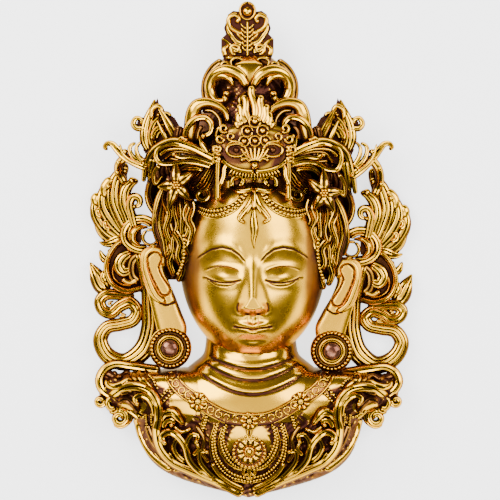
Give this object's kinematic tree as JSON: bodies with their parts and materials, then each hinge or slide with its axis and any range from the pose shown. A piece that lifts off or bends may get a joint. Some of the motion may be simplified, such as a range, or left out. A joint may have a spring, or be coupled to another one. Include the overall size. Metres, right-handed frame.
{
  "type": "wall mask",
  "caption": "Cast brass wall mask of a crowned, long-eared deity: a shell open behind, with openwork flame hair, crown, collar and a stud set in each ear plug.",
  "frame": {"origin": "centre of the outline in X and Y, on the plane of the back rim, which is the wall plane", "axes": "+X to the viewer's right, +Y up towards the crown's tip when it hangs, +Z out of the wall. It is stored lying on its back rim."},
  "size_m": [0.2172, 0.332, 0.0782],
  "materials": {
    "brass": "polished on the high places, dark brown patina in the recesses",
    "copper": "dark brown polished inlay"
  },
  "bodies": {
    "root": {"mask_casting": "brass", "ear_stud_left": "copper", "ear_stud_right": "copper"}
  },
  "joints": []
}
